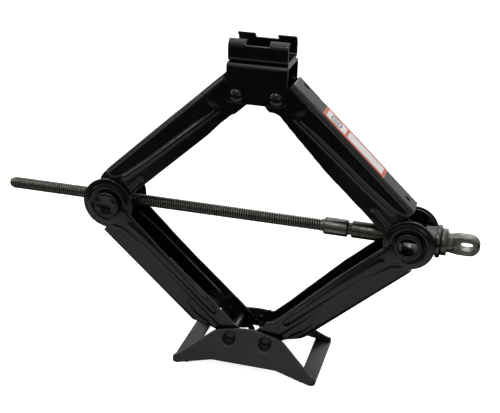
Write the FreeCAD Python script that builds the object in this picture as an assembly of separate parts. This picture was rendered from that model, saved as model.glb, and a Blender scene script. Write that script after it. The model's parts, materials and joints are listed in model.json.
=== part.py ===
import FreeCAD, Part
import os
from math import acos, atan, cos, degrees, pi, radians, sin, sqrt, tan

from FreeCAD import Vector

# Scissor car jack. Millimetres. +X runs along the lifting screw towards its drive eye, -Y is the front,
# +Z is up, and the origin is on the ground under the middle of the base.

# driving dimensions
ARM_LENGTH = 155.0            # pivot axis to trunnion axis
ARM_ANGLE = 43.9              # every arm's slope at rest, degrees
PIVOT_SPACING = 32.0          # between the two pivots of the base, and of the bracket
BASE_PIVOT_HEIGHT = 24.5
ARM_SHEET = 2.3
FRAME_SHEET = 2.5             # base and saddle
SCREW_RADIUS = 5.0            # Tr10x2 thread, crest radius
RUNNING_GAP = 0.06            # radial clearance of everything that turns

# worked out from them
PIVOT_X = PIVOT_SPACING / 2
TRUNNION_X = PIVOT_X + ARM_LENGTH * cos(radians(ARM_ANGLE))
TRUNNION_Z = BASE_PIVOT_HEIGHT + ARM_LENGTH * sin(radians(ARM_ANGLE))
TOP_PIVOT_Z = 2 * TRUNNION_Z - BASE_PIVOT_HEIGHT

# how the layers lie across the jack: half-widths to the outside of each sheet
UPPER_HALF_WIDTH = 14.5
LOWER_HALF_WIDTH = 17.1
BRACKET_HALF_WIDTH = 17.9
TRUNNION_HALF_LENGTH = 21.2
EMBOSS = 1.2                  # height of the pressed panels on the arms' flanges

# arms
ARM_BEND = 5.0                # outer bend radius
LOWER_EAR_RADIUS = {"right": 20.6, "left": 22.2}      # round end about the trunnion
UPPER_EAR_RADIUS = 19.5
TRUNNION_RADIUS = 11.1
RIVET_RADIUS = 4.0
ABOVE = 25.0                  # past the outside of any web
# depth of each web below its arm's line, at the pivot and at the trunnion: the nut's arms are the deeper pair
LOWER_WEB = {"right": (17.0, 20.4), "left": (20.2, 23.6)}
UPPER_WEB = {"right": (17.3, 20.3), "left": (19.0, 22.9)}

# gear sectors that keep both sides of the jack level
GEAR_PITCH_ANGLE = 36.0
GEAR_PRESSURE_ANGLE = 28.0
GEAR_TIP_RADIUS = 17.8
GEAR_ROOT_RADIUS = 12.4
GEAR_BACKLASH = 0.4
LAST_TOOTH_ANGLE = 101.9      # from the arm's tail direction, towards its open side

# screw assembly, as distances from the thrust trunnion's axis
SCREW_TIP = -355.65
STOP_COLLAR = (-71.2, -51.2)
SPACER_TUBE = (-48.2, -11.4)
TRUNNION_FLAT = 10.2          # seat for the thrust bearing
BEARING_END = 23.7
DRIVE_COLLAR_END = 28.6
EYE_CENTRE = 44.0
EYE_TIP = 54.4


def vec(x, y, z):
    return Vector(x, y, z)


def outline(corners, at_y=0.0):
    """A closed face in the XZ plane. Each corner is (x, z) or (x, z, radius)."""
    points = [vec(c[0], at_y, c[1]) for c in corners]
    radii = [c[2] if len(c) > 2 else 0.0 for c in corners]
    edges = []
    last = None
    first = None
    for i, corner in enumerate(points):
        before = (points[i - 1] - corner).normalize()
        after = (points[(i + 1) % len(points)] - corner).normalize()
        if radii[i] == 0.0:
            enter = leave = corner
        else:
            half_turn = before.getAngle(after) / 2
            setback = radii[i] / tan(half_turn)
            enter = corner + before * setback
            leave = corner + after * setback
            bisector = (before + after).normalize()
            middle = corner + bisector * (radii[i] / sin(half_turn) - radii[i])
        if last is not None and (enter - last).Length > 1e-6:
            edges.append(Part.LineSegment(last, enter).toShape())
        if first is None:
            first = enter
        if radii[i] > 0.0:
            edges.append(Part.Arc(enter, middle, leave).toShape())
        last = leave
    if (first - last).Length > 1e-6:
        edges.append(Part.LineSegment(last, first).toShape())
    return Part.Face(Part.Wire(Part.__sortEdges__(edges)))


def prism(face, low_y, high_y):
    """A face from the XZ plane, carried from low_y to high_y."""
    moved = face.copy()
    moved.translate(vec(0, low_y, 0))
    return moved.extrude(vec(0, high_y - low_y, 0))


def rod(radius, low_y, high_y, x=0.0, z=0.0):
    """A cylinder along Y."""
    return Part.makeCylinder(radius, high_y - low_y, vec(x, low_y, z), vec(0, 1, 0))


def shaft(radius, low_x, high_x, z=0.0):
    """A cylinder along X."""
    return Part.makeCylinder(radius, high_x - low_x, vec(low_x, 0, z), vec(1, 0, 0))


def block(low, high):
    size = [b - a for a, b in zip(low, high)]
    return Part.makeBox(size[0], size[1], size[2], vec(*low))


def both_sides(solid):
    """The solid together with its mirror image across the XZ plane."""
    return solid.fuse(solid.mirror(vec(0, 0, 0), vec(0, 1, 0)))


def turned_about_x(profile, centre_z=0.0):
    """A solid of revolution about X. The profile's points are (x, radius)."""
    points = [vec(x, 0, r + centre_z) for x, r in profile]
    wire = Part.makePolygon(points + [points[0]])
    return Part.Face(wire).revolve(vec(0, 0, centre_z), vec(1, 0, 0), 360)


def one_solid(shape):
    """The cleaned shape, which must be a single solid."""
    clean = shape.removeSplitter()
    solids = clean.Solids
    if len(solids) != 1:
        raise ValueError("expected one solid, got %d" % len(solids))
    return solids[0]


# ---------------------------------------------------------------- gear teeth

def involute(angle):
    return tan(angle) - angle


def gear_tooth(centre_angle, low_y, high_y):
    """One tooth about the pivot at the origin, angle from the arm's tail (-X) towards its open side (+Z)."""
    pressure = radians(GEAR_PRESSURE_ANGLE)
    base = PIVOT_X * cos(pressure)
    pitch_half = radians(GEAR_PITCH_ANGLE) / 4 - GEAR_BACKLASH / 4 / PIVOT_X
    flank = []
    steps = 6
    for i in range(steps + 1):
        radius = base + (GEAR_TIP_RADIUS - base) * i / steps
        half = pitch_half + involute(pressure) - involute(acos(min(1.0, base / radius)))
        flank.append((radius, half))
    root_half = flank[0][1]
    side = [(GEAR_ROOT_RADIUS - 3.0, root_half)] + flank
    centre = radians(centre_angle)

    def at(radius, angle):
        return vec(-radius * cos(centre + angle), 0, radius * sin(centre + angle))

    points = [at(r, -h) for r, h in side] + [at(r, h) for r, h in reversed(side)]
    face = Part.Face(Part.makePolygon(points + [points[0]]))
    return prism(face, low_y, high_y)


# ---------------------------------------------------------------- arms
# An arm is drawn lying along +X from its pivot at the origin, with its web underneath and its open side up.

def web_slope(web):
    return degrees(atan((web[1] - web[0]) / ARM_LENGTH))


def u_channel(half_width, web):
    """A long channel with bent corners, its web sloping gently away from the arm's line."""
    inner = half_width - ARM_SHEET
    bend = ARM_BEND - ARM_SHEET
    lift = 30.0

    def at(y, z):
        return vec(-40.0, y, z)

    turn = 1 - sqrt(0.5)
    points = [
        at(-half_width, lift), at(-half_width, ARM_BEND), at(-half_width + ARM_BEND, 0),
        at(half_width - ARM_BEND, 0), at(half_width, ARM_BEND), at(half_width, lift),
        at(inner, lift), at(inner, ARM_BEND), at(inner - bend, ARM_SHEET),
        at(-inner + bend, ARM_SHEET), at(-inner, ARM_BEND), at(-inner, lift),
    ]
    outer_mid = ARM_BEND * turn
    inner_mid = ARM_SHEET + bend * turn
    edges = [
        Part.LineSegment(points[0], points[1]).toShape(),
        Part.Arc(points[1], at(-half_width + outer_mid, outer_mid), points[2]).toShape(),
        Part.LineSegment(points[2], points[3]).toShape(),
        Part.Arc(points[3], at(half_width - outer_mid, outer_mid), points[4]).toShape(),
        Part.LineSegment(points[4], points[5]).toShape(),
        Part.LineSegment(points[5], points[6]).toShape(),
        Part.LineSegment(points[6], points[7]).toShape(),
        Part.Arc(points[7], at(inner - bend * turn, inner_mid), points[8]).toShape(),
        Part.LineSegment(points[8], points[9]).toShape(),
        Part.Arc(points[9], at(-inner + bend * turn, inner_mid), points[10]).toShape(),
        Part.LineSegment(points[10], points[11]).toShape(),
        Part.LineSegment(points[11], points[0]).toShape(),
    ]
    channel = Part.Face(Part.Wire(edges)).extrude(vec(ARM_LENGTH + 80.0, 0, 0))
    channel.translate(vec(0, 0, -web[0]))
    channel.rotate(vec(0, 0, 0), vec(0, 1, 0), web_slope(web))
    return channel


def flange_shape(corners, tooth_angles, low_y, high_y):
    """Everything one flange may fill, seen from the side: its outline, its hub and its gear teeth."""
    shape = prism(outline(corners), low_y, high_y)
    shape = shape.fuse(rod(GEAR_ROOT_RADIUS, low_y, high_y))
    for angle in tooth_angles:
        shape = shape.fuse(gear_tooth(angle, low_y, high_y))
    return shape


def ear_plates(half_width, radius):
    """The two flat round ears about the trunnion."""
    ear = rod(radius, -half_width, -half_width + ARM_SHEET, ARM_LENGTH, 0)
    return both_sides(ear)


def joggle(arm, face, half_width, step):
    """Moves the part of both flanges inside a side-view face outwards by step."""
    region = prism(face, -half_width - 3.0, -half_width + ARM_SHEET + 3.0)
    shifted = prism(face, -half_width - step, -half_width + ARM_SHEET - step)
    return arm.cut(both_sides(region)).fuse(both_sides(shifted))


def drill_arm(arm):
    reach = 2 * LOWER_HALF_WIDTH
    arm = arm.cut(rod(RIVET_RADIUS + RUNNING_GAP, -reach, reach))
    return arm.cut(rod(TRUNNION_RADIUS + RUNNING_GAP, -reach, reach, ARM_LENGTH, 0))


FRONT_TEETH = [LAST_TOOTH_ANGLE - i * GEAR_PITCH_ANGLE for i in range(4)]
BACK_TEETH = [LAST_TOOTH_ANGLE + (0.5 - i) * GEAR_PITCH_ANGLE for i in range(5)]


def lower_arm(web, ear_radius):
    """The outer pair: ears outside the upper arms, web cut off slantwise over the base."""
    half = LOWER_HALF_WIDTH
    web_end = 141.0
    web_side = [(ARM_LENGTH, 13.3), (ARM_LENGTH, -ABOVE), (34.0, -ABOVE), (29.0, -17.8, 3.0),
                (12.0, -7.5, 12.0), (-10.5, -10.0, 8.0), (-10.5, 4.0), (0.0, 8.0)]
    front = web_side + [(5.4, 10.9), (9.2, 13.6, 1.5), (16.0, 9.8, 6.0), (44.0, 9.9, 30.0)]
    back = web_side + [(3.5, 8.6, 1.0), (24.0, 8.6, 30.0), (44.0, 9.5, 30.0)]
    side = flange_shape(front, FRONT_TEETH[1:], -half - 1, 0)
    back_side = flange_shape(back, BACK_TEETH[1:], 0, half + 1)
    relief = outline([(3.0, ABOVE), (3.0, 10.4), (5.2, 8.6, 2.0), (24.0, 8.6), (24.0, ABOVE)])
    side = side.fuse(back_side.cut(prism(relief, 0, half + 1)))
    arm = u_channel(half, web).common(side)
    arm = arm.cut(block((web_end, -half - 1, -2 * ABOVE), (2 * ARM_LENGTH, half + 1, -13.4)))
    arm = arm.fuse(ear_plates(half, ear_radius))
    panel = outline([(23.0, 1.0, 2.0), (107.0, -0.7, 60.0), (134.0, -3.2, 12.0), (143.5, -10.0),
                     (146.0, 0.0), (143.0, 8.0), (138.0, 8.6, 8.0), (40.0, 6.8, 20.0), (24.0, 5.4, 2.0)])
    arm = joggle(arm, panel, half, EMBOSS)
    ring = rod(17.2, -half - 0.9, -half + 0.5, ARM_LENGTH, 0)
    ring = ring.cut(rod(13.6, -half - 2, -half + 2, ARM_LENGTH, 0))
    arm = arm.fuse(both_sides(ring))
    return one_solid(drill_arm(arm))


def upper_arm(web):
    """The inner pair: its web stays closed up to the bracket, with a slot near each end."""
    half = UPPER_HALF_WIDTH
    web_end = 138.0
    web_side = [(ARM_LENGTH, 15.4), (ARM_LENGTH, -ABOVE), (0.0, -ABOVE), (0.0, -12.0, 3.0),
                (-9.0, -8.0, 5.0), (-11.0, 2.0), (0.0, 8.0)]
    front = web_side + [(5.5, 10.4), (11.6, 8.4, 3.0), (24.0, 9.3, 20.0)]
    back = web_side + [(8.1, 14.6, 1.2), (14.2, 9.7, 4.0), (26.0, 9.1, 20.0)]
    side = flange_shape(front, FRONT_TEETH, -half - 1, 0)
    side = side.fuse(flange_shape(back, BACK_TEETH, 0, half + 1))
    inner_strip = outline([(20.0, -1.6, 4.0), (100.0, -6.0, 60.0), (125.0, -8.8, 12.0), (138.0, -15.0, 6.0),
                           (136.0, -ABOVE), (26.0, -ABOVE)])
    strip = prism(inner_strip, -half - 1, half + 1)
    wide = u_channel(half, web).cut(strip)
    narrow = u_channel(half - EMBOSS, web).common(strip)
    arm = wide.fuse(narrow).common(side)
    arm = arm.cut(block((web_end, -half - 1, -2 * ABOVE), (2 * ARM_LENGTH, half + 1, -14.2)))
    arm = arm.fuse(ear_plates(half, UPPER_EAR_RADIUS))
    rib = outline([(115.5, 0.4, 1.9), (135.0, 1.8, 1.9), (134.6, 5.8, 1.9), (115.1, 4.4, 1.9)])
    arm = joggle(arm, rib, half, -EMBOSS / 2)
    pivot_slot = block((6.1, 4.9, -ABOVE), (12.4, 7.5, 0))
    trunnion_slot = block((125.7, -1.5, -ABOVE), (130.7, 1.5, 0))
    return one_solid(drill_arm(arm.cut(pivot_slot).cut(trunnion_slot)))


def place_right_arm(arm, is_upper):
    """Stands a lying arm up on the right-hand side of the jack."""
    placed = arm.copy()
    if is_upper:
        placed = placed.mirror(vec(0, 0, 0), vec(0, 0, 1))
        placed.rotate(vec(0, 0, 0), vec(0, 1, 0), ARM_ANGLE)
        placed.translate(vec(PIVOT_X, 0, TOP_PIVOT_Z))
    else:
        placed.rotate(vec(0, 0, 0), vec(0, 1, 0), -ARM_ANGLE)
        placed.translate(vec(PIVOT_X, 0, BASE_PIVOT_HEIGHT))
    return placed


def left_from_right(shape):
    """Turns a right-hand piece half round about Z to the left, so that its other flange is in front."""
    placed = shape.copy()
    placed.rotate(vec(0, 0, 0), vec(0, 0, 1), 180)
    return placed


# ---------------------------------------------------------------- base

BASE_HALF_LENGTH = 63.5
BASE_FOOT_Y = 38.5
WALL_LEAN = 0.568             # inward run of a side wall for each mm of height
WALL_TOP = 33.2
SEAT_INNER_Y = 18.0           # flat pads that the pivots sit on


def base_wall():
    """The front side wall: leaning inwards, arched underneath, with two flat seats pressed for the rivets."""
    across = FRAME_SHEET * sqrt(1 + WALL_LEAN ** 2)
    reach = WALL_TOP + 2.0
    half = BASE_HALF_LENGTH

    def at(y, z):
        return vec(-half, y, z)

    foot = -BASE_FOOT_Y
    top = foot + WALL_LEAN * reach
    sheet = Part.Face(Part.makePolygon([
        at(foot, 0), at(top, reach), at(top + across, reach), at(foot + across, 0), at(foot, 0)]))
    sheet = sheet.extrude(vec(2 * half, 0, 0))
    behind = Part.Face(Part.makePolygon([
        at(foot, 0), at(top, reach), at(-SEAT_INNER_Y, reach), at(-SEAT_INNER_Y, 0), at(foot, 0)]))
    behind = behind.extrude(vec(2 * half, 0, 0))
    side = outline([(-58.0, 0.0), (-27.0, 6.6, 30.0), (27.0, 6.6, 30.0), (58.0, 0.0), (half, 0.0),
                    (half, 5.2, 2.5), (59.0, 6.6, 8.0), (29.0, 29.2, 22.0), (0.0, 34.0, 60.0),
                    (-29.0, 29.2, 22.0), (-59.0, 6.6, 8.0), (-half, 5.2, 2.5), (-half, 0.0)])
    side = prism(side, -BASE_FOOT_Y - 1, -SEAT_INNER_Y)
    wall = sheet
    dish_radius = 5.4
    cup_radius = dish_radius + FRAME_SHEET
    depth = 14.0
    widening = depth * tan(radians(5.0))
    seat_y = -SEAT_INNER_Y - FRAME_SHEET
    outwards = vec(0, -1, 0)
    for x in (-PIVOT_X, PIVOT_X):
        cup_centre = vec(x, -SEAT_INNER_Y, BASE_PIVOT_HEIGHT)
        dish_centre = vec(x, seat_y, BASE_PIVOT_HEIGHT)
        cup = Part.makeCone(cup_radius, cup_radius + widening, depth, cup_centre, outwards)
        dish = Part.makeCone(dish_radius, dish_radius + widening, depth, dish_centre, outwards)
        hole = rod(RIVET_RADIUS, -BASE_FOOT_Y, 0, x, BASE_PIVOT_HEIGHT)
        wall = wall.fuse(cup.common(behind)).cut(dish).cut(hole)
    return wall.common(side)


def base_plate():
    """Two leaning walls joined by a flat strip at each end, open in the middle."""
    half = BASE_HALF_LENGTH
    strip_inner = 49.0
    strip_reach = 35.6
    body = both_sides(base_wall())
    for sign in (-1, 1):
        ends = sorted((sign * strip_inner, sign * half))
        body = body.fuse(block((ends[0], -strip_reach, 0), (ends[1], strip_reach, FRAME_SHEET)))
    footprint = Part.Face(Part.makePolygon([vec(x, y, 0) for x, y in (
        (-half, -BASE_FOOT_Y), (half, -BASE_FOOT_Y), (half, BASE_FOOT_Y), (-half, BASE_FOOT_Y),
        (-half, -BASE_FOOT_Y))])).extrude(vec(0, 0, 2 * WALL_TOP))
    upright = [e for e in footprint.Edges if abs(e.Vertexes[0].Z - e.Vertexes[1].Z) > 1]
    footprint = footprint.makeFillet(4.0, upright)
    return one_solid(body.common(footprint))


# ---------------------------------------------------------------- rivets

def dome(y, direction, x, z, radius, height):
    """A rivet head: a low dome whose flat side is at y."""
    ball = (radius ** 2 + height ** 2) / (2 * height)
    sphere = Part.makeSphere(ball, vec(x, y + direction * (height - ball), z))
    keep = rod(radius + 1, min(y, y + direction * height), max(y, y + direction * height), x, z)
    return sphere.common(keep)


def pivot_rivet(x, z, seat, head_radius, rim, crown):
    """A long rivet right across the jack, with a head outside each seat."""
    body = rod(RIVET_RADIUS, -seat, seat, x, z)
    for direction in (-1, 1):
        low, high = sorted((direction * seat, direction * (seat + rim)))
        body = body.fuse(rod(head_radius, low, high, x, z))
        body = body.fuse(dome(direction * (seat + rim), direction, x, z, head_radius, crown))
    return one_solid(body)


# ---------------------------------------------------------------- bracket and saddle

BRACKET_HALF_LENGTH = 24.4
BRACKET_TOP_Z = TOP_PIVOT_Z + 26.0
BRACKET_DROP = 6.5            # below the pivots
SADDLE_RIVET_X = 12.0
SADDLE_RIVET_RADIUS = 3.0
SADDLE_RIVET_HEAD = 4.6


def bracket_side():
    low = TOP_PIVOT_Z - BRACKET_DROP
    half = BRACKET_HALF_LENGTH
    return outline([(-half, low, 5.0), (half, low, 5.0), (half, BRACKET_TOP_Z, 1.0),
                    (-half, BRACKET_TOP_Z, 1.0)])


def top_bracket():
    """An inverted channel over the upper pivots."""
    bend = 4.0
    outer = block((-BRACKET_HALF_LENGTH, -BRACKET_HALF_WIDTH, 0),
                  (BRACKET_HALF_LENGTH, BRACKET_HALF_WIDTH, BRACKET_TOP_Z))
    inner_half = BRACKET_HALF_WIDTH - ARM_SHEET
    inner = block((-2 * BRACKET_HALF_LENGTH, -inner_half, -1),
                  (2 * BRACKET_HALF_LENGTH, inner_half, BRACKET_TOP_Z - ARM_SHEET))

    def top_edges(solid):
        return [e for e in solid.Edges
                if min(v.Z for v in e.Vertexes) > BRACKET_TOP_Z - 2 * ARM_SHEET
                and abs(e.Vertexes[0].X - e.Vertexes[-1].X) > BRACKET_HALF_LENGTH]

    outer = outer.makeFillet(bend, top_edges(outer))
    inner = inner.makeFillet(bend - ARM_SHEET, top_edges(inner))
    body = outer.cut(inner).common(prism(bracket_side(), -ABOVE, ABOVE))
    for x in (-PIVOT_X, PIVOT_X):
        body = body.cut(rod(RIVET_RADIUS, -ABOVE, ABOVE, x, TOP_PIVOT_Z))
    for x in (-SADDLE_RIVET_X, SADDLE_RIVET_X):
        body = body.cut(Part.makeCylinder(SADDLE_RIVET_RADIUS, 10, vec(x, 0, BRACKET_TOP_Z - 5)))
    return one_solid(body)


SADDLE_HALF_LENGTH = 23.8
SADDLE_HALF_WIDTH = 16.2
SADDLE_SHEET = 2.3
SADDLE_WALL_TOP = BRACKET_TOP_Z + 13.5
SADDLE_CURL = 6.2             # outer radius of the curled tabs
SADDLE_NOTCH = (-9.6, 8.8)    # between the tabs


def saddle_section(x):
    """The channel's floor, bends and side walls, without tabs, as a face at x."""
    half = SADDLE_HALF_WIDTH
    bend = 4.5
    sheet = SADDLE_SHEET
    floor = BRACKET_TOP_Z
    turn = 1 - sqrt(0.5)

    def at(y, z):
        return vec(x, y, z)

    def arc(centre_y, radius, low, side):
        start = at(side * (centre_y + radius), low + radius)
        middle = at(side * (centre_y + radius * (1 - turn)), low + radius * turn)
        end = at(side * centre_y, low)
        return Part.Arc(start, middle, end).toShape()

    centre = half - bend
    top = SADDLE_WALL_TOP
    inner = half - sheet
    edges = [
        Part.LineSegment(at(-half, top), at(-half, floor + bend)).toShape(),
        arc(centre, bend, floor, -1),
        Part.LineSegment(at(-centre, floor), at(centre, floor)).toShape(),
        arc(centre, bend, floor, 1),
        Part.LineSegment(at(half, floor + bend), at(half, top)).toShape(),
        Part.LineSegment(at(half, top), at(inner, top)).toShape(),
        Part.LineSegment(at(inner, top), at(inner, floor + bend)).toShape(),
        arc(centre, bend - sheet, floor + sheet, 1),
        Part.LineSegment(at(centre, floor + sheet), at(-centre, floor + sheet)).toShape(),
        arc(centre, bend - sheet, floor + sheet, -1),
        Part.LineSegment(at(-inner, floor + bend), at(-inner, top)).toShape(),
        Part.LineSegment(at(-inner, top), at(-half, top)).toShape(),
    ]
    return Part.Face(Part.Wire(Part.__sortEdges__(edges)))


def saddle_tab(low_x, high_x):
    """One end of the front wall's top, curled inwards through a little under a quarter turn."""
    centre_y = -SADDLE_HALF_WIDTH + SADDLE_CURL
    centre_z = SADDLE_WALL_TOP - 2.0
    sweep = radians(82.0)
    inner = SADDLE_CURL - SADDLE_SHEET

    def at(radius, angle):
        return vec(low_x, centre_y - radius * cos(angle), centre_z + radius * sin(angle))

    edges = [
        Part.Arc(at(SADDLE_CURL, 0), at(SADDLE_CURL, sweep / 2), at(SADDLE_CURL, sweep)).toShape(),
        Part.LineSegment(at(SADDLE_CURL, sweep), at(inner, sweep)).toShape(),
        Part.Arc(at(inner, sweep), at(inner, sweep / 2), at(inner, 0)).toShape(),
        Part.LineSegment(at(inner, 0), at(SADDLE_CURL, 0)).toShape(),
    ]
    return Part.Face(Part.Wire(edges)).extrude(vec(high_x - low_x, 0, 0))


def saddle():
    """The channel that takes the sill seam, with two curled tabs on each side."""
    body = saddle_section(-SADDLE_HALF_LENGTH).extrude(vec(2 * SADDLE_HALF_LENGTH, 0, 0))
    ends = ((-SADDLE_HALF_LENGTH, SADDLE_NOTCH[0]), (SADDLE_NOTCH[1], SADDLE_HALF_LENGTH))
    lower_wall = SADDLE_WALL_TOP - 2.0
    for low_x, high_x in ends:
        tab = saddle_tab(low_x, high_x)
        trim = block((low_x, -SADDLE_HALF_WIDTH - 1, lower_wall), (high_x, 0, BRACKET_TOP_Z + 40))
        body = body.cut(both_sides(trim)).fuse(both_sides(tab))
    for x in (-SADDLE_RIVET_X, SADDLE_RIVET_X):
        body = body.cut(Part.makeCylinder(SADDLE_RIVET_RADIUS, 10, vec(x, 0, BRACKET_TOP_Z - 5)))
        body = body.cut(countersink(x))
    return one_solid(body)


def countersink(x):
    """The flush head's cone, sunk into the saddle's floor."""
    depth = SADDLE_RIVET_HEAD - SADDLE_RIVET_RADIUS
    high = BRACKET_TOP_Z + SADDLE_SHEET
    return Part.makeCone(SADDLE_RIVET_RADIUS, SADDLE_RIVET_HEAD, depth, vec(x, 0, high - depth))


def saddle_rivets():
    """Two short rivets through the saddle's floor and the bracket's top, flush with the seat."""
    rivets = []
    head_height = 1.4
    low = BRACKET_TOP_Z - ARM_SHEET
    high = BRACKET_TOP_Z + SADDLE_SHEET
    for x in (-SADDLE_RIVET_X, SADDLE_RIVET_X):
        body = Part.makeCylinder(SADDLE_RIVET_RADIUS, high - low, vec(x, 0, low))
        below = vec(x, 0, low - head_height)
        under = Part.makeCone(SADDLE_RIVET_HEAD - 1.0, SADDLE_RIVET_HEAD, head_height, below)
        rivets.append(one_solid(body.fuse(countersink(x)).fuse(under)))
    return Part.makeCompound(rivets)


# ---------------------------------------------------------------- trunnions

def nut_trunnion():
    """A solid barrel with the screw's thread through it, peened over at both ends."""
    half = TRUNNION_HALF_LENGTH
    x = -TRUNNION_X
    body = rod(TRUNNION_RADIUS, -half, half, x, TRUNNION_Z)
    rims = [e for e in body.Edges if e.Closed]
    body = body.makeFillet(1.0, rims)
    body = body.cut(shaft(SCREW_RADIUS + RUNNING_GAP, x - 20, x + 20, TRUNNION_Z))
    for direction in (-1, 1):
        face = direction * half
        low, high = sorted((face, face - direction * 0.6))
        body = body.cut(rod(5.2, low, high, x, TRUNNION_Z))
        for i in range(4):
            angle = radians(45 + 90 * i)
            centre = (x + 8.6 * cos(angle), TRUNNION_Z + 8.6 * sin(angle))
            body = body.cut(Part.makeSphere(1.3, vec(centre[0], face + direction * 0.3, centre[1])))
    return one_solid(body)


def thrust_trunnion():
    """A thick tube that the screw's shank crosses, milled flat where the thrust bearing sits."""
    half = TRUNNION_HALF_LENGTH
    bore = 7.5
    body = rod(TRUNNION_RADIUS, -half, half, TRUNNION_X, TRUNNION_Z)
    body = body.cut(rod(bore, -half - 1, half + 1, TRUNNION_X, TRUNNION_Z))
    rims = [e for e in body.Edges if e.Closed]
    body = body.makeFillet(0.8, rims)
    body = body.cut(shaft(SCREW_RADIUS + RUNNING_GAP, TRUNNION_X - 20, TRUNNION_X + 20, TRUNNION_Z))
    seat_half = UPPER_HALF_WIDTH - ARM_SHEET - 0.1
    flat = block((TRUNNION_X + TRUNNION_FLAT, -seat_half, TRUNNION_Z - 20),
                 (TRUNNION_X + 30, seat_half, TRUNNION_Z + 20))
    return one_solid(body.cut(flat))


# ---------------------------------------------------------------- thrust bearing

BALL_RADIUS = 1.2
BALL_CIRCLE = 7.9
BALL_COUNT = 12
RACE_THICKNESS = 2.05
BALL_X = TRUNNION_X + TRUNNION_FLAT + RACE_THICKNESS + BALL_RADIUS + 0.05


def ball_centres():
    for i in range(BALL_COUNT):
        angle = 2 * pi * (i + 0.5) / BALL_COUNT
        yield vec(BALL_X, BALL_CIRCLE * sin(angle), TRUNNION_Z + BALL_CIRCLE * cos(angle))


def bearing_race():
    start = TRUNNION_X + TRUNNION_FLAT
    return one_solid(turned_about_x([(start, 5.4), (start, 10.1), (start + RACE_THICKNESS, 10.1),
                                     (start + RACE_THICKNESS, 5.4)], TRUNNION_Z))


def bearing_balls():
    return Part.makeCompound([Part.makeSphere(BALL_RADIUS, centre) for centre in ball_centres()])


def ball_cage():
    half = 0.45
    cage = turned_about_x([(BALL_X - half, 5.6), (BALL_X - half, 9.9), (BALL_X + half, 9.9),
                           (BALL_X + half, 5.6)], TRUNNION_Z)
    for centre in ball_centres():
        pocket = Part.makeCylinder(BALL_RADIUS + 0.08, 4 * half, centre - vec(2 * half, 0, 0), vec(1, 0, 0))
        cage = cage.cut(pocket)
    return one_solid(cage)


def bearing_cup():
    """The turning race: a skirt that covers the balls between the ears, and a wider rim outside them."""
    track = BALL_X + BALL_RADIUS + 0.05
    end = TRUNNION_X + BEARING_END
    skirt = TRUNNION_X + TRUNNION_FLAT + 0.5
    rim = TRUNNION_X + UPPER_EAR_RADIUS + 0.6
    rim_radius = 13.3
    return one_solid(turned_about_x([
        (track, SCREW_RADIUS), (track, 10.5), (skirt, 10.5), (skirt, 11.3), (skirt + 0.4, 11.7),
        (rim, 11.7), (rim, rim_radius - 0.6), (rim + 0.6, rim_radius), (end - 0.8, rim_radius),
        (end, rim_radius - 0.8), (end, SCREW_RADIUS)], TRUNNION_Z))


# ---------------------------------------------------------------- screw

def drive_eye():
    """The forged loop that the crank's hook drops into, with a neck behind it."""
    start = TRUNNION_X + DRIVE_COLLAR_END
    root = start + 1.5
    half_height = 8.4
    half_thickness = 4.9
    tip = TRUNNION_X + EYE_TIP
    centre = TRUNNION_X + EYE_CENTRE
    z = TRUNNION_Z
    side = outline([(root, z - 7.2), (centre - 7.0, z - half_height, 12.0),
                    (tip, z - half_height, half_height - 0.1), (tip, z + half_height, half_height - 0.1),
                    (centre - 7.0, z + half_height, 12.0), (root, z + 6.6)])
    loop = prism(side, -half_thickness, half_thickness)
    broad = [e for e in loop.Edges if abs(e.Vertexes[0].Y - e.Vertexes[-1].Y) < 1e-6
             and min(v.X for v in e.Vertexes) > root + 0.1]
    loop = loop.makeFillet(2.4, broad)
    slot_half_height = 3.4
    slot_reach = 5.5 - slot_half_height
    slot = block((centre - slot_reach, -6, z - slot_half_height),
                 (centre + slot_reach, 6, z + slot_half_height))
    for x in (centre - slot_reach, centre + slot_reach):
        slot = slot.fuse(rod(slot_half_height, -6, 6, x, z))
    neck = turned_about_x([(start - 1.0, 0), (start - 1.0, 8.4), (start, 8.4), (start + 1.2, 7.6),
                           (start + 4.0, 7.2), (start + 9.0, 4.2), (start + 9.0, 0)], z)
    return neck.fuse(loop).cut(slot)


def drive_screw():
    """One forging: screw rod, shank, thrust collar and drive eye."""
    tip = TRUNNION_X + SCREW_TIP
    collar = TRUNNION_X + BEARING_END
    end = TRUNNION_X + DRIVE_COLLAR_END
    rod_and_collar = turned_about_x([
        (tip, 0), (tip, SCREW_RADIUS - 1.2), (tip + 1.2, SCREW_RADIUS), (collar, SCREW_RADIUS),
        (collar, 10.4), (collar + 0.5, 10.9), (end - 0.9, 10.9), (end, 10.0), (end, 0)], TRUNNION_Z)
    return one_solid(rod_and_collar.fuse(drive_eye()))


def sleeve(ends, radius, bore, chamfer):
    low, high = (TRUNNION_X + e for e in ends)
    return one_solid(turned_about_x([
        (low, bore), (low, radius - chamfer), (low + chamfer, radius), (high - chamfer, radius),
        (high, radius - chamfer), (high, bore)], TRUNNION_Z))


def stop_collar():
    """Staked to the screw: the nut runs up against it when the jack is fully raised."""
    return sleeve(STOP_COLLAR, 7.1, SCREW_RADIUS, 0.9)


def spacer_tube():
    """Keeps the stop collar away from the thrust trunnion."""
    return sleeve(SPACER_TUBE, 7.0, SCREW_RADIUS + 0.2, 0.7)


# ---------------------------------------------------------------- labels

LABEL_THICKNESS = 0.25
LABEL_HALF_WIDTH = UPPER_HALF_WIDTH - ARM_BEND


def label(start, length, web):
    """A thin plate lying on an upper arm's web, drawn in the arm's own lying position."""
    low = (start, -LABEL_HALF_WIDTH, -LABEL_THICKNESS)
    plate = block(low, (start + length, LABEL_HALF_WIDTH, 0))
    plate.translate(vec(0, 0, -web[0]))
    plate.rotate(vec(0, 0, 0), vec(0, 1, 0), web_slope(web))
    return plate


def write(name, shape):
    shape.exportStep("parts/" + name + ".step")


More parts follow.
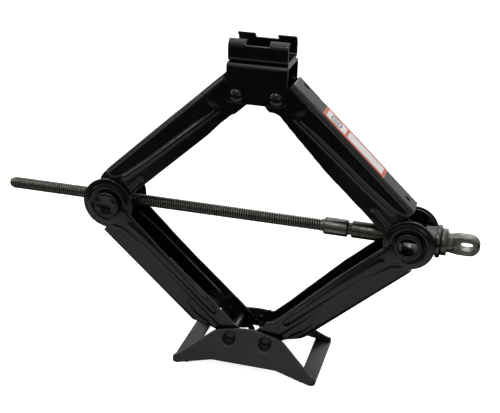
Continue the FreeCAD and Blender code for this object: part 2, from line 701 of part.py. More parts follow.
def build():
    os.makedirs("parts", exist_ok=True)
    lower = {}
    for side, web in LOWER_WEB.items():
        lower[side] = place_right_arm(lower_arm(web, LOWER_EAR_RADIUS[side]), False)
    upper = {side: place_right_arm(upper_arm(web), True) for side, web in UPPER_WEB.items()}
    right_label = place_right_arm(label(32.0, 70.0, UPPER_WEB["right"]), True)
    left_label = place_right_arm(label(59.5, 42.5, UPPER_WEB["left"]), True)
    nodes = {
        "base_plate": base_plate(),
        "lower_arm_right": lower["right"],
        "lower_arm_left": left_from_right(lower["left"]),
        "upper_arm_right": upper["right"],
        "upper_arm_left": left_from_right(upper["left"]),
        "top_bracket": top_bracket(),
        "saddle": saddle(),
        "saddle_rivets": saddle_rivets(),
        "nut_trunnion": nut_trunnion(),
        "thrust_trunnion": thrust_trunnion(),
        "bearing_race": bearing_race(),
        "bearing_balls": bearing_balls(),
        "ball_cage": ball_cage(),
        "bearing_cup": bearing_cup(),
        "drive_screw": drive_screw(),
        "stop_collar": stop_collar(),
        "spacer_tube": spacer_tube(),
        "label_right": right_label,
        "label_left": left_from_right(left_label),
    }
    for side, x in (("left", -PIVOT_X), ("right", PIVOT_X)):
        seat = SEAT_INNER_Y + FRAME_SHEET
        nodes["base_rivet_" + side] = pivot_rivet(x, BASE_PIVOT_HEIGHT, seat, 4.6, 0.4, 1.3)
        nodes["bracket_rivet_" + side] = pivot_rivet(x, TOP_PIVOT_Z, BRACKET_HALF_WIDTH, 5.4, 0.8, 2.0)
    for name, shape in nodes.items():
        write(name, shape)
        print(name, len(shape.Solids), round(shape.Volume, 1), shape.isValid())


build()
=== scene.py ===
import json
import math

import bmesh
import bpy
from mathutils import Matrix, Vector, noise


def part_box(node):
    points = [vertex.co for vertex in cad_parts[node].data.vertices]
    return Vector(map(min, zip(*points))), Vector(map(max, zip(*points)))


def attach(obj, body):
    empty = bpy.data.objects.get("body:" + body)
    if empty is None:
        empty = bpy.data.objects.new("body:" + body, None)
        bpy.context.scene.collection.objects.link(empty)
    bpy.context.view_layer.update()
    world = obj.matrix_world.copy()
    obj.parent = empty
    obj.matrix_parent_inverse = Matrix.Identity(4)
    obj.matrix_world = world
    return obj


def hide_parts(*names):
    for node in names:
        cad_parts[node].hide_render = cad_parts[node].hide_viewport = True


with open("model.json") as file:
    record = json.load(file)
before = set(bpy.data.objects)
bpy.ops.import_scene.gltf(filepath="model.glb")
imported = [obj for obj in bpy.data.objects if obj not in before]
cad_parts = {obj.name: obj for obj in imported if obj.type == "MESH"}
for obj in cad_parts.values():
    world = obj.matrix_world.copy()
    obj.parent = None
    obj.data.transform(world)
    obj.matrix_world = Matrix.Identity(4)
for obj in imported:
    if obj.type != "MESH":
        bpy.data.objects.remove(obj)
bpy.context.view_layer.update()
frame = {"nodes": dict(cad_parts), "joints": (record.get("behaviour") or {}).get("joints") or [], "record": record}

MM = 0.001
ARM_SLOPE = math.radians(43.9)
NODES = frame["nodes"]
BODY_OF = {node: body for body, nodes in frame["record"]["behaviour"]["bodies"].items() for node in nodes}
SLOT_OF = {s["node"]: s["material_slot"] for s in frame["record"]["subparts"]}


def joint_place(name):
    """Where a joint lies at rest, in metres."""
    return Vector(next(j["pos_m"] for j in frame["joints"] if j["name"] == name))


THRUST = joint_place("thrust_swivel")
BASE_PIVOT = joint_place("base_pivot_right")
TOP_PIVOT = joint_place("bracket_pivot_right")


# ---------------------------------------------------------------- materials

def shader(name, base, rough, metal=0.0, specular=0.5):
    """A material, its node tree and its Principled node, with the constant values set."""
    material = bpy.data.materials.new(name)
    material.use_nodes = True
    tree = material.node_tree
    principled = tree.nodes["Principled BSDF"]
    principled.inputs["Base Color"].default_value = (*base, 1)
    principled.inputs["Roughness"].default_value = rough
    principled.inputs["Metallic"].default_value = metal
    principled.inputs["Specular IOR Level"].default_value = specular
    return material, tree, principled


def add(tree, kind, links=(), **values):
    """A node with its inputs set: a value is a constant or another node's output socket."""
    node = tree.nodes.new(kind)
    for key, value in values.items():
        setattr(node, key, value)
    for socket, source in dict(links).items():
        if isinstance(source, bpy.types.NodeSocket):
            tree.links.new(source, node.inputs[socket])
        else:
            node.inputs[socket].default_value = source
    return node


def place(tree):
    """The point in the piece's own space."""
    return add(tree, "ShaderNodeTexCoord").outputs["Object"]


def noise_of(tree, where, scale, detail=4.0, rough=0.55, stretch=None):
    if stretch:
        where = add(tree, "ShaderNodeMapping", {"Vector": where, "Scale": stretch}).outputs[0]
    return add(tree, "ShaderNodeTexNoise", {
        "Vector": where, "Scale": scale, "Detail": detail, "Roughness": rough}).outputs["Fac"]


def spread(tree, value, low, high, to_low=0.0, to_high=1.0, smooth=False):
    """The value stretched from low..high to to_low..to_high, and held at the ends."""
    node = add(tree, "ShaderNodeMapRange", {
        "Value": value, "From Min": low, "From Max": high, "To Min": to_low, "To Max": to_high})
    if smooth:
        node.interpolation_type = "SMOOTHSTEP"
    return node.outputs[0]


def maths(tree, operation, a, b=0.0, clamp=False):
    node = add(tree, "ShaderNodeMath", {0: a, 1: b}, operation=operation)
    node.use_clamp = clamp
    return node.outputs[0]


def blend_colours(tree, factor, a, b):
    node = tree.nodes.new("ShaderNodeMix")
    node.data_type = "RGBA"
    for socket, source in ((node.inputs[0], factor), (node.inputs[6], a), (node.inputs[7], b)):
        if isinstance(source, bpy.types.NodeSocket):
            tree.links.new(source, socket)
        else:
            socket.default_value = (*source, 1)
    return node.outputs[2]


def bump(tree, height, distance, strength=1.0, before=None):
    links = {"Height": height, "Distance": distance, "Strength": strength}
    if before is not None:
        links["Normal"] = before
    return add(tree, "ShaderNodeBump", links).outputs[0]


def coated_steel(name, base, rough, dust, bare, wear_amount):
    """Coated pressed steel: orange peel, uneven gloss, dull dust, and coat worn off the edges."""
    material, tree, out = shader(name, base, rough)
    where = place(tree)
    cloud = noise_of(tree, where, 38, 5, 0.6)
    fine = noise_of(tree, where, 900, 2, 0.5)
    grit = noise_of(tree, where, 260, 6, 0.7)
    edge = add(tree, "ShaderNodeAttribute", attribute_name="edge").outputs["Fac"]
    ragged = maths(tree, "MULTIPLY", edge, spread(tree, grit, 0.35, 0.62))
    worn = spread(tree, ragged, 1.0 - wear_amount, 1.05, smooth=True)
    dusty = maths(tree, "MULTIPLY", spread(tree, cloud, 0.42, 0.72, smooth=True),
                  spread(tree, grit, 0.3, 0.7), True)
    normal = add(tree, "ShaderNodeNewGeometry").outputs["Normal"]
    up = add(tree, "ShaderNodeSeparateXYZ", {0: normal}).outputs[2]
    settled = maths(tree, "MULTIPLY", spread(tree, up, 0.2, 0.95), 0.5)
    dusty = maths(tree, "MULTIPLY", maths(tree, "ADD", dusty, settled), 0.3, True)
    colour = blend_colours(tree, dusty, base, dust)
    colour = blend_colours(tree, worn, colour, bare)
    tree.links.new(colour, out.inputs["Base Color"])
    gloss = spread(tree, cloud, 0.3, 0.75, rough * 0.82, rough * 1.3)
    gloss = maths(tree, "ADD", gloss, maths(tree, "MULTIPLY", dusty, 0.1), True)
    tree.links.new(gloss, out.inputs["Roughness"])
    tree.links.new(maths(tree, "MULTIPLY", worn, 0.85), out.inputs["Metallic"])
    wavy = bump(tree, noise_of(tree, where, 45, 1), 0.25 * MM, 0.2)
    peeled = bump(tree, fine, 0.02 * MM, 0.12, wavy)
    tree.links.new(bump(tree, worn, 0.03 * MM, -0.4, peeled), out.inputs["Normal"])
    return material


def machined_steel(name, base, rough, stain, rings):
    """Turned or phosphated steel: fine tool marks round the axis, oily stains, brighter worn edges."""
    material, tree, out = shader(name, base, rough, 1.0)
    where = place(tree)
    lines = noise_of(tree, where, 2600, 2, 0.6, (1, 0.03, 0.03))
    cloud = noise_of(tree, where, 120, 5, 0.65)
    grit = noise_of(tree, where, 700, 4, 0.7)
    edge = add(tree, "ShaderNodeAttribute", attribute_name="edge").outputs["Fac"]
    colour = blend_colours(tree, spread(tree, cloud, 0.38, 0.68, smooth=True), base, stain)
    polished = tuple(min(1.0, c * 1.9 + 0.1) for c in base)
    rubbed = spread(tree, maths(tree, "MULTIPLY", edge, grit), 0.25, 0.7)
    colour = blend_colours(tree, rubbed, colour, polished)
    tree.links.new(colour, out.inputs["Base Color"])
    gloss = maths(tree, "ADD", spread(tree, grit, 0.3, 0.7, rough * 0.8, rough * 1.25),
                  spread(tree, cloud, 0.4, 0.7, 0.0, 0.12), True)
    tree.links.new(gloss, out.inputs["Roughness"])
    marks = bump(tree, lines, rings * MM, 0.6)
    tree.links.new(bump(tree, grit, 0.03 * MM, 0.5, marks), out.inputs["Normal"])
    return material


BLACK = coated_steel(
    "black_dip_coat", (0.0013, 0.0013, 0.0015), 0.2, (0.003, 0.0029, 0.0027), (0.1, 0.097, 0.092), 0.25)
BASE_GREY = coated_steel(
    "base_satin_grey", (0.0075, 0.0075, 0.0078), 0.36, (0.02, 0.0195, 0.0185), (0.2, 0.2, 0.19), 0.3)
RIVET_GREY = coated_steel(
    "rivet_grey", (0.004, 0.004, 0.0042), 0.3, (0.012, 0.0118, 0.0112), (0.2, 0.2, 0.19), 0.3)
SCREW = machined_steel("screw_phosphated", (0.12, 0.116, 0.1), 0.3, (0.05, 0.047, 0.036), 0.03)
BRIGHT = machined_steel("turned_steel", (0.2, 0.195, 0.185), 0.22, (0.1, 0.096, 0.088), 0.02)
BEARING = machined_steel("bearing_steel", (0.105, 0.105, 0.1), 0.2, (0.09, 0.088, 0.083), 0.02)
FORGED = machined_steel("forged_eye", (0.2, 0.196, 0.18), 0.32, (0.1, 0.095, 0.08), 0.0)
MATERIAL = {"black_coat": BLACK, "base_paint": BASE_GREY, "screw_steel": SCREW, "bright_steel": BRIGHT,
            "bearing_steel": BEARING, "ball_steel": BEARING}


# ---------------------------------------------------------------- making pieces

def new_piece(name, mesh, node=None, body=None, slot=None, material=None):
    """A visible piece on a body of the frame. With a node, it stands in for that CAD solid."""
    piece = bpy.data.objects.new(name, mesh)
    bpy.context.scene.collection.objects.link(piece)
    mesh.materials.clear()
    slot = slot or SLOT_OF[node]
    mesh.materials.append(material or MATERIAL[slot])
    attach(piece, body or BODY_OF[node])
    if node:
        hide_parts(node)


def evaluated(source, modifiers, name, weights=None):
    """A new mesh: the source mesh after these modifiers, given as (type, settings)."""
    carrier = bpy.data.objects.new(name + "_carrier", source)
    bpy.context.scene.collection.objects.link(carrier)
    if weights:
        group = carrier.vertex_groups.new(name="band")
        for weight, indices in weights.items():
            group.add(indices, weight, "REPLACE")
    for kind, settings in modifiers:
        modifier = carrier.modifiers.new(kind.lower(), kind)
        for key, value in settings.items():
            setattr(modifier, key, value)
    graph = bpy.context.evaluated_depsgraph_get()
    graph.update()
    mesh = bpy.data.meshes.new_from_object(carrier.evaluated_get(graph))
    mesh.name = name
    bpy.data.objects.remove(carrier)
    return mesh


def mark_edges(mesh, full_turn=0.5):
    """Stores how sharply the surface bends outwards at each vertex, from 0 to 1, for the wear on edges."""
    bm = bmesh.new()
    bm.from_mesh(mesh)
    bm.normal_update()
    values = [0.0] * len(bm.verts)
    for vertex in bm.verts:
        turn = 0.0
        for e in vertex.link_edges:
            if len(e.link_faces) == 2 and e.is_convex:
                turn = max(turn, e.calc_face_angle(0.0))
        values[vertex.index] = min(1.0, turn / full_turn)
    neighbours = [[e.other_vert(v).index for e in v.link_edges] for v in bm.verts]
    softened = [(2 * values[i] + sum(values[j] for j in near)) / (2 + len(near))
                for i, near in enumerate(neighbours)]
    bm.free()
    layer = mesh.attributes.new("edge", "FLOAT", "POINT")
    layer.data.foreach_set("value", softened)


def welded(node):
    """A CAD node's mesh with its shared vertices joined."""
    bm = bmesh.new()
    bm.from_mesh(NODES[node].data)
    bmesh.ops.remove_doubles(bm, verts=bm.verts, dist=1e-6)
    bmesh.ops.recalc_face_normals(bm, faces=bm.faces)
    mesh = bpy.data.meshes.new(node + "_welded")
    bm.to_mesh(mesh)
    bm.free()
    return mesh


def pressed(node, turn, voxel=0.5, rounds=6, keep=0.3, form=None):
    """A sheet-metal CAD node with the rounded edges and flowing steps that a press leaves.

    It is turned about Y while it is remeshed, so that the voxels lie along the sheet.
    """
    mesh = welded(node)
    mesh.transform(Matrix.Rotation(turn, 4, "Y"))
    mesh = evaluated(mesh, [
        ("REMESH", {"mode": "VOXEL", "voxel_size": voxel * MM, "use_smooth_shade": True}),
        ("SMOOTH", {"factor": 0.5, "iterations": rounds}),
    ], node + "_pressed")
    mesh.transform(Matrix.Rotation(-turn, 4, "Y"))
    if form:
        weights = form(mesh)
        flow = {"factor": 0.5, "iterations": 40, "vertex_group": "band"}
        mesh = evaluated(mesh, [("SMOOTH", flow)], node + "_formed", weights)
    mesh = evaluated(mesh, [("DECIMATE", {"ratio": keep})], node + "_light")
    mesh.shade_smooth()
    mark_edges(mesh)
    new_piece(node + "_sheet", mesh, node)


# A pressing's details lie in its own arm's frame, in mm: s from the pivot towards the trunnion, w towards
# its open side. half is the sheet's outer face. A band is a line whose step is softened, with its half
# width. A ridge is a line, its height outwards (sunk if negative) and its half width. ring is the softened
# ring round the trunnion, from radius to radius. fade is the recess's end, which dies out by the pivot.
ARM_LENGTH = 155.0
SHEET_DEPTH = 4.2
LOWER_FORM = {
    "half": 17.1,
    "bands": [([(24, 1.0), (107, -0.7), (134, -3.2), (143, -9.0)], 3.4), ([(40, 6.9), (138, 8.5)], 1.6)],
    "ridges": [([(14, -1.5), (44, -2.4), (80, -2.9), (107, -3.3), (131, -6.6), (138, -11)], -0.55, 2.6),
               ([(30, 3.4), (60, 3.6), (100, 3.4), (128, 1.8)], 0.45, 4.5),
               ([(12, -8.5), (22, -7.0), (34, -9.5), (46, -8.5)], 0.5, 3.0)],
    "ring": (12.9, 19.6),
    "fade": None,
}
UPPER_FORM = {
    "half": 14.5,
    "bands": [([(20, -1.6), (100, -6.0), (125, -8.8), (138, -15)], 4.2), ([(20, -1.6), (27, -20)], 4.2)],
    "ridges": [([(20.5, -0.6), (60, -2.9), (100, -5.0), (126, -7.6)], 0.75, 3.6),
               ([(114.5, 2.6), (134.5, 3.8)], 0.75, 2.3), ([(120.5, 9.0), (135.5, 11.0)], 0.6, 2.2)],
    "ring": None,
    "fade": {"start": (19.0, -1.6), "end": (25.0, -19.0), "slope": -0.055, "depth": 1.2, "reach": 30.0},
}


def nearest(polyline, s, w):
    """Distance from (s, w) to a polyline."""
    best = 1e9
    for (s0, w0), (s1, w1) in zip(polyline, polyline[1:]):
        ds, dw = s1 - s0, w1 - w0
        t = min(1.0, max(0.0, ((s - s0) * ds + (w - w0) * dw) / (ds * ds + dw * dw)))
        best = min(best, math.hypot(s - s0 - t * ds, w - w0 - t * dw))
    return best


def ease(value):
    """A smooth step from 0 to 1."""
    value = min(1.0, max(0.0, value))
    return value * value * (3 - 2 * value)


def faded(fade, s, w):
    """How far the recess is filled up again at (s, w): fully at its end, less and less beyond."""
    (s0, w0), (s1, w1) = fade["start"], fade["end"]
    beyond = s - s0 - (s1 - s0) * (w - w0) / (w1 - w0)
    below = w0 + fade["slope"] * (s - s0) - w
    if beyond <= 0 or below <= 0:
        return 0.0
    return fade["depth"] * ease(1.0 - beyond / fade["reach"]) * ease(below / fade["depth"])


def arm_form(node, details):
    """Returns a function that raises an arm's ridges and gives each vertex its softening weight."""
    side = 1 if node.endswith("right") else -1
    rise = 1 if node.startswith("lower") else -1
    pivot = BASE_PIVOT if rise > 0 else TOP_PIVOT
    origin = Vector((side * pivot.x, 0, pivot.z))
    along = Vector((side * math.cos(ARM_SLOPE), 0, rise * math.sin(ARM_SLOPE)))
    opening = Vector((-side * math.sin(ARM_SLOPE), 0, rise * math.cos(ARM_SLOPE)))

    def form(mesh):
        weights = {}
        for vertex in mesh.vertices:
            local = (vertex.co - origin) / MM
            across = abs(local.y)
            if across < details["half"] - SHEET_DEPTH:
                continue
            s, w = local.dot(along), local.dot(opening)
            weight = max(ease((half_width - nearest(line, s, w)) / (0.5 * half_width))
                         for line, half_width in details["bands"])
            if details["ring"]:
                low, high = details["ring"]
                radius = math.hypot(s - ARM_LENGTH, w)
                weight = max(weight, ease(min(radius - low, high - radius)))
            if weight > 0.02:
                weights.setdefault(round(weight * 20) / 20, []).append(vertex.index)
            lift = sum(height * ease(1.0 - nearest(line, s, w) / half_width)
                       for line, height, half_width in details["ridges"])
            if details["fade"]:
                lift += faded(details["fade"], s, w)
            vertex.co.y += math.copysign(lift * MM, local.y)
        return weights

    return form


def turned(node, width, material=None):
    """A turned or headed CAD node with its edges broken."""
    mesh = evaluated(welded(node), [
        ("BEVEL", {"width": width * MM, "segments": 2, "limit_method": "ANGLE",
                   "angle_limit": math.radians(25), "harden_normals": False}),
    ], node + "_turned")
    mesh.shade_smooth()
    mesh.set_sharp_from_angle(angle=math.radians(40))
    mark_edges(mesh, 1.2)
    new_piece(node + "_piece", mesh, node, material=material)


def lathe(name, profile, centre):
    """A closed solid of revolution about X. The profile's points are (x, radius), in mm from centre."""
    segments = 64
    bm = bmesh.new()
    rings = []
    for x, radius in profile:
        if radius <= 0:
            rings.append([bm.verts.new(centre + Vector((x, 0, 0)) * MM)])
            continue
        ring = []
        for i in range(segments):
            a = 2 * math.pi * i / segments
            ring.append(bm.verts.new(centre + Vector((x, -radius * math.sin(a), radius * math.cos(a))) * MM))
        rings.append(ring)
    for low, high in zip(rings, rings[1:]):
        if len(low) == 1 and len(high) == 1:
            continue
        for i in range(segments):
            j = (i + 1) % segments
            corners = [low[i % len(low)], low[j % len(low)], high[j % len(high)], high[i % len(high)]]
            bm.faces.new([v for k, v in enumerate(corners) if v not in corners[:k]])
    bmesh.ops.recalc_face_normals(bm, faces=bm.faces)
    mesh = bpy.data.meshes.new(name)
    bm.to_mesh(mesh)
    bm.free()
    return mesh


# ---------------------------------------------------------------- pressed parts

pressed("base_plate", 0.0, 0.55, 5, 0.35)
pressed("lower_arm_right", ARM_SLOPE, form=arm_form("lower_arm_right", LOWER_FORM))
pressed("lower_arm_left", -ARM_SLOPE, form=arm_form("lower_arm_left", LOWER_FORM))
pressed("upper_arm_right", -ARM_SLOPE, form=arm_form("upper_arm_right", UPPER_FORM))
pressed("upper_arm_left", ARM_SLOPE, form=arm_form("upper_arm_left", UPPER_FORM))
pressed("top_bracket", 0.0, 0.45, 5, 0.4)
pressed("saddle", 0.0, 0.4, 5, 0.45)

for node in ("base_rivet_left", "base_rivet_right"):
    turned(node, 0.2, material=RIVET_GREY)
for node in ("bracket_rivet_left", "bracket_rivet_right", "saddle_rivets"):
    turned(node, 0.3)
for node in ("nut_trunnion", "thrust_trunnion"):
    turned(node, 0.3)
for node in ("bearing_race", "bearing_balls", "ball_cage", "bearing_cup"):
    turned(node, 0.15)
turned("stop_collar", 0.3)
# painted shade: the spacer tube gets the darker screw steel instead of its own bright steel, standing in for the
# shadow of the arm and nut on it
turned("spacer_tube", 0.3, material=SCREW)


# ---------------------------------------------------------------- screw

PITCH = 2.0
CREST = 5.0
ROOT = 3.8
THREAD = (-354.65, -72.0)     # from the thrust trunnion's axis, mm


def thread_mesh():
    """The helical flank, crest and root of a trapezoidal thread, closed at both ends."""
    bm = bmesh.new()
    steps = 30
    low, high = THREAD
    count = int((high - low) / PITCH * steps)
    rows = []
    for i in range(count + 1):
        x = low + PITCH * i / steps
        a = 2 * math.pi * i / steps
        fade = min(1.0, i / (1.4 * steps), max(0.0, count - steps - i) / (0.8 * steps))
        crest = ROOT + (CREST - ROOT) * fade
        row = []
        for along, radius in ((0.0, ROOT), (0.33, crest), (0.67, crest)):
            p = Vector((x + along * PITCH, -radius * math.sin(a), radius * math.cos(a)))
            row.append(bm.verts.new(THRUST + p * MM))
        rows.append(row)
    for i in range(count):
        now, then = rows[i], rows[i + 1]
        bm.faces.new((now[0], then[0], then[1], now[1]))
        bm.faces.new((now[1], then[1], then[2], now[2]))
        if i + steps + 1 <= count:
            bm.faces.new((now[2], then[2], rows[i + steps + 1][0], rows[i + steps][0]))
    bm.normal_update()
    open_edges = [e for e in bm.edges if len(e.link_faces) == 1]
    bmesh.ops.holes_fill(bm, edges=open_edges)
    bmesh.ops.recalc_face_normals(bm, faces=bm.faces)
    mesh = bpy.data.meshes.new("screw_thread")
    bm.to_mesh(mesh)
    bm.free()
    return mesh


thread = thread_mesh()
thread.shade_smooth()
thread.set_sharp_from_angle(angle=math.radians(35))
mark_edges(thread, 0.9)
new_piece("screw_thread", thread, body="screw", slot="screw_steel")

COLLAR = (23.7, 28.6, 10.9)     # start, end and radius, from the thrust trunnion's axis, mm
EYE_CUT = 28.4                  # where the forging's loop and neck take over from the turned shank

start, end, radius = COLLAR
shank = lathe("screw_shank", [
    (-74.0, 0), (-74.0, 4.6), (-73.4, CREST), (10.0, CREST), (start, CREST),
    (23.71, 10.2), (24.1, 10.7), (24.7, radius), (27.6, radius), (28.3, 10.6), (end, 10.0),
    (28.62, 8.3), (29.2, 7.9), (30.0, 7.4), (30.0, 0)], THRUST)
shank.shade_smooth()
shank.set_sharp_from_angle(angle=math.radians(35))
mark_edges(shank, 0.9)
new_piece("screw_shank", shank, body="screw", slot="screw_steel", material=SCREW)


def forged_eye():
    """The loop and neck beyond the collar, with a forging's soft edges."""
    bm = bmesh.new()
    bm.from_mesh(NODES["drive_screw"].data)
    bmesh.ops.remove_doubles(bm, verts=bm.verts, dist=1e-6)
    cut = THRUST.x + EYE_CUT * MM
    geometry = bm.verts[:] + bm.edges[:] + bm.faces[:]
    bmesh.ops.bisect_plane(
        bm, geom=geometry, plane_co=(cut, 0, 0), plane_no=(1, 0, 0), clear_inner=True)
    bmesh.ops.holes_fill(bm, edges=[e for e in bm.edges if len(e.link_faces) == 1])
    bmesh.ops.recalc_face_normals(bm, faces=bm.faces)
    mesh = bpy.data.meshes.new("eye_cut")
    bm.to_mesh(mesh)
    bm.free()
    mesh = evaluated(mesh, [
        ("REMESH", {"mode": "VOXEL", "voxel_size": 0.3 * MM, "use_smooth_shade": True}),
        ("SMOOTH", {"factor": 0.5, "iterations": 8}),
        ("DECIMATE", {"ratio": 0.5}),
    ], "forged_eye")
    mesh.shade_smooth()
    mark_edges(mesh)
    return mesh


new_piece("forged_eye", forged_eye(), "drive_screw", material=FORGED)


# ---------------------------------------------------------------- labels

VINYL_WHITE = (0.76, 0.76, 0.745)


LABEL_LENGTH = 70.0
LABEL_WIDTH = 19.0
BORDER = 3.2
PRINT_ORANGE = (0.55, 0.075, 0.018)
PRINT_BLACK = (0.03, 0.03, 0.032)
PRINT_GREY = (0.3, 0.3, 0.31)


def label_print(tree):
    """The printing: an orange border and divider, two plain rings, and rows of grey marks."""
    uv = add(tree, "ShaderNodeUVMap", uv_map="label").outputs[0]
    parts = add(tree, "ShaderNodeSeparateXYZ", {0: uv})
    along, across = parts.outputs[0], parts.outputs[1]

    def inside(value, low, high, soft=0.15):
        rise = spread(tree, value, low - soft, low + soft)
        fall = spread(tree, value, high - soft, high + soft, 1.0, 0.0)
        return maths(tree, "MULTIPLY", rise, fall)

    white = maths(tree, "MULTIPLY", inside(along, BORDER, LABEL_LENGTH - BORDER),
                  inside(across, BORDER, LABEL_WIDTH - BORDER))
    divider = inside(along, 24.4, 27.2)
    white = maths(tree, "MULTIPLY", white, maths(tree, "SUBTRACT", 1.0, divider), True)
    dx = maths(tree, "SUBTRACT", along, 13.5)
    dy = maths(tree, "SUBTRACT", across, LABEL_WIDTH / 2)
    squares = maths(tree, "ADD", maths(tree, "MULTIPLY", dx, dx), maths(tree, "MULTIPLY", dy, dy))
    radius = maths(tree, "SQRT", squares)
    rings = maths(tree, "ADD", inside(radius, 4.6, 6.0), inside(radius, 1.4, 2.8), True)
    row = maths(tree, "FRACT", maths(tree, "DIVIDE", across, 1.9))
    marked = maths(tree, "MULTIPLY", inside(along, 29.0, 64.0), inside(across, 4.4, 15.4))
    gaps = spread(tree, noise_of(tree, uv, 1.0, 1, 0.5, (0.9, 0.53, 1)), 0.4, 0.5)
    rows = maths(tree, "MULTIPLY", inside(row, 0.3, 0.62, 0.08), marked)
    colour = blend_colours(tree, white, PRINT_ORANGE, VINYL_WHITE)
    colour = blend_colours(tree, rings, colour, PRINT_BLACK)
    return blend_colours(tree, maths(tree, "MULTIPLY", maths(tree, "MULTIPLY", rows, gaps), 0.5),
                         colour, PRINT_GREY)


def label_material(name, printed):
    """Glossy vinyl with a little dirt, plain or printed."""
    material, tree, out = shader(name, VINYL_WHITE, 0.32)
    out.inputs["Coat Weight"].default_value = 0.3
    colour = label_print(tree) if printed else VINYL_WHITE
    where = place(tree)
    dirt = spread(tree, noise_of(tree, where, 150, 6, 0.7), 0.5, 0.8, 0.0, 0.3)
    colour = blend_colours(tree, dirt, colour, (0.45, 0.43, 0.4))
    tree.links.new(colour, out.inputs["Base Color"])
    tree.links.new(spread(tree, noise_of(tree, where, 90), 0.3, 0.7, 0.26, 0.42), out.inputs["Roughness"])
    tree.links.new(bump(tree, noise_of(tree, where, 160, 3), 0.06 * MM, 0.4), out.inputs["Normal"])
    return material


def label_piece(node, side, material):
    """A vinyl label with rounded corners, a hair thick, with a faint ripple on its face."""
    low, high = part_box(node)
    length = math.hypot(high.x - low.x, high.z - low.z)
    centre = (low + high) / 2
    direction = Vector((side * (high.x - low.x), 0, low.z - high.z)).normalized()
    normal = Vector((-side * direction.z, 0, side * direction.x))
    half_length = length / 2 - 0.1 * MM
    half_width = (high.y - low.y) / 2
    corner = 1.5 * MM
    lift = 0.12 * MM
    bm = bmesh.new()
    uv = bm.loops.layers.uv.new("label")
    columns, rows = 56, 14
    grid = {}
    for layer in (0, 1):
        for i in range(columns + 1):
            for j in range(rows + 1):
                s = -half_length + 2 * half_length * i / columns
                t = -half_width + 2 * half_width * j / rows
                over_s, over_t = abs(s) - (half_length - corner), abs(t) - (half_width - corner)
                if over_s > 0 and over_t > 0:
                    shrink = corner / max(corner, math.hypot(over_s, over_t))
                    s = math.copysign(half_length - corner + over_s * shrink, s)
                    t = math.copysign(half_width - corner + over_t * shrink, t)
                ripple = 0.5 * noise.noise(Vector((s * 90, t * 120, 3.0 + side))) * 0.05 * MM
                height = (lift + ripple) if layer else -lift
                point = centre + direction * s + Vector((0, 1, 0)) * t + normal * height
                place_on_print = ((s + half_length) / MM, (half_width - side * t) / MM)
                grid[layer, i, j] = (bm.verts.new(point), place_on_print)

    def face(keys):
        made = bm.faces.new([grid[k][0] for k in keys])
        for loop, key in zip(made.loops, keys):
            loop[uv].uv = grid[key][1]

    for i in range(columns):
        for j in range(rows):
            face([(1, i, j), (1, i + 1, j), (1, i + 1, j + 1), (1, i, j + 1)])
            face([(0, i, j), (0, i, j + 1), (0, i + 1, j + 1), (0, i + 1, j)])
    for i in range(columns):
        face([(0, i, 0), (0, i + 1, 0), (1, i + 1, 0), (1, i, 0)])
        face([(0, i + 1, rows), (0, i, rows), (1, i, rows), (1, i + 1, rows)])
    for j in range(rows):
        face([(0, 0, j + 1), (0, 0, j), (1, 0, j), (1, 0, j + 1)])
        face([(0, columns, j), (0, columns, j + 1), (1, columns, j + 1), (1, columns, j)])
    bmesh.ops.recalc_face_normals(bm, faces=bm.faces)
    mesh = bpy.data.meshes.new(node + "_vinyl")
    bm.to_mesh(mesh)
    bm.free()
    mesh.shade_smooth()
    mesh.set_sharp_from_angle(angle=math.radians(40))
    new_piece(node + "_vinyl", mesh, node, material=material)


MATERIAL["label_vinyl"] = label_material("label_plain", False)
label_piece("label_right", 1, label_material("label_printed", True))
label_piece("label_left", -1, MATERIAL["label_vinyl"])


# ---------------------------------------------------------------- floor, light, camera

def floor():
    """A pale floor with a faint glow of its own, so that it stays white without hard shadows."""
    bm = bmesh.new()
    half = 30.0
    square = ((-half, -half), (half, -half), (half, half), (-half, half))
    bm.faces.new([bm.verts.new((x, y, 0)) for x, y in square])
    mesh = bpy.data.meshes.new("floor")
    bm.to_mesh(mesh)
    bm.free()
    made = bpy.data.objects.new("floor", mesh)
    bpy.context.scene.collection.objects.link(made)
    material, tree, out = shader("pale_floor", (0.92, 0.92, 0.925), 0.9, 0.0, 0.0)
    out.inputs["Emission Color"].default_value = (1, 0.995, 1, 1)
    out.inputs["Emission Strength"].default_value = 0.8
    mesh.materials.append(material)
    made.visible_glossy = False


def studio_world():
    """A soft studio all round: bright low behind, soft above, rising from black at the front floor."""
    world = bpy.data.worlds.new("studio")
    bpy.context.scene.world = world
    world.use_nodes = True
    tree = world.node_tree
    background = tree.nodes["Background"]
    where = add(tree, "ShaderNodeTexCoord").outputs["Generated"]
    parts = add(tree, "ShaderNodeSeparateXYZ", {0: where})
    behind = spread(tree, parts.outputs[1], 0.2, 0.8, smooth=True)
    above_floor = spread(tree, parts.outputs[2], -0.5, -0.2, smooth=True)
    overhead = spread(tree, parts.outputs[2], 0.3, 0.95, smooth=True)
    rising = spread(tree, parts.outputs[2], -0.2, 0.6, 0.01, 0.4)
    light = maths(tree, "MULTIPLY", maths(tree, "MULTIPLY", behind, above_floor), 0.5)
    light = maths(tree, "ADD", light, maths(tree, "MULTIPLY", overhead, 0.3))
    light = maths(tree, "ADD", light, rising)
    tree.links.new(light, background.inputs["Strength"])
    background.inputs["Color"].default_value = (1, 1, 1, 1)


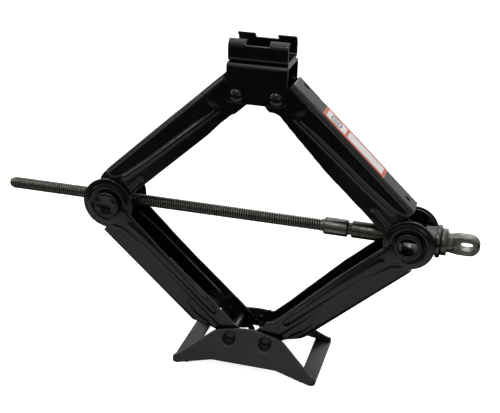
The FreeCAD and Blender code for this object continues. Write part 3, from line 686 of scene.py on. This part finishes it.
def softbox(name, place_at, aim, size, power):
    """A rectangular soft light that the camera doesn't see."""
    data = bpy.data.lights.new(name, "AREA")
    data.shape = "RECTANGLE"
    data.size, data.size_y = size
    data.energy = power
    lamp = bpy.data.objects.new(name, data)
    lamp.location = place_at
    lamp.rotation_mode = "QUATERNION"
    lamp.rotation_quaternion = (Vector(aim) - Vector(place_at)).to_track_quat("-Z", "Y")
    lamp.visible_camera = False
    bpy.context.scene.collection.objects.link(lamp)


def camera():
    """Looks down at the front from a little to the right."""
    azimuth, elevation, roll = math.radians(14.80), math.radians(24.15), math.radians(1.73)
    target, distance = Vector((-3.64, 0.0, 133.98)) * MM, 0.78705
    right = Vector((math.cos(azimuth), math.sin(azimuth), 0))
    up = Vector((-math.sin(azimuth) * math.sin(elevation), math.cos(azimuth) * math.sin(elevation),
                 math.cos(elevation)))
    back = right.cross(up)
    across = right * math.cos(roll) + up * math.sin(roll)
    above = up * math.cos(roll) - right * math.sin(roll)
    data = bpy.data.cameras.new("camera")
    data.lens, data.sensor_width = 67.97, 36.0
    data.shift_x, data.shift_y = -0.00734, 0.0132
    data.clip_start, data.clip_end = 0.05, 100.0
    made = bpy.data.objects.new("camera", data)
    turn = Matrix((across, above, back)).transposed().to_4x4()
    made.matrix_world = Matrix.Translation(target + back * distance) @ turn
    bpy.context.scene.collection.objects.link(made)
    bpy.context.scene.camera = made


floor()
studio_world()
softbox("top_soft", (-0.1, 0.15, 1.1), (0, 0, 0.1), (0.9, 0.6), 2.0)
softbox("left_soft", (-0.9, -0.3, 0.9), (0, 0, 0.12), (0.3, 0.8), 2.5)
softbox("key_small", (-0.12, -0.85, 1.25), (0, 0, 0.13), (0.16, 0.12), 1.6)
softbox("strip_right", (0.55, -1.2, 0.38), (0, 0, 0.2), (0.3, 0.36), 0.45)
softbox("strip_left", (-1.15, -0.85, 0.34), (0, 0, 0.2), (0.3, 0.36), 0.45)
softbox("rim_back", (0.3, 1.3, 0.85), (0, 0, 0.1), (0.7, 0.12), 1.6)
softbox("ground_bounce", (0.02, -0.18, 0.002), (0.02, -0.18, 1.0), (0.9, 0.24), 0.36)
camera()
bpy.context.scene.view_settings.view_transform = "Standard"
bpy.context.scene.view_settings.look = "None"
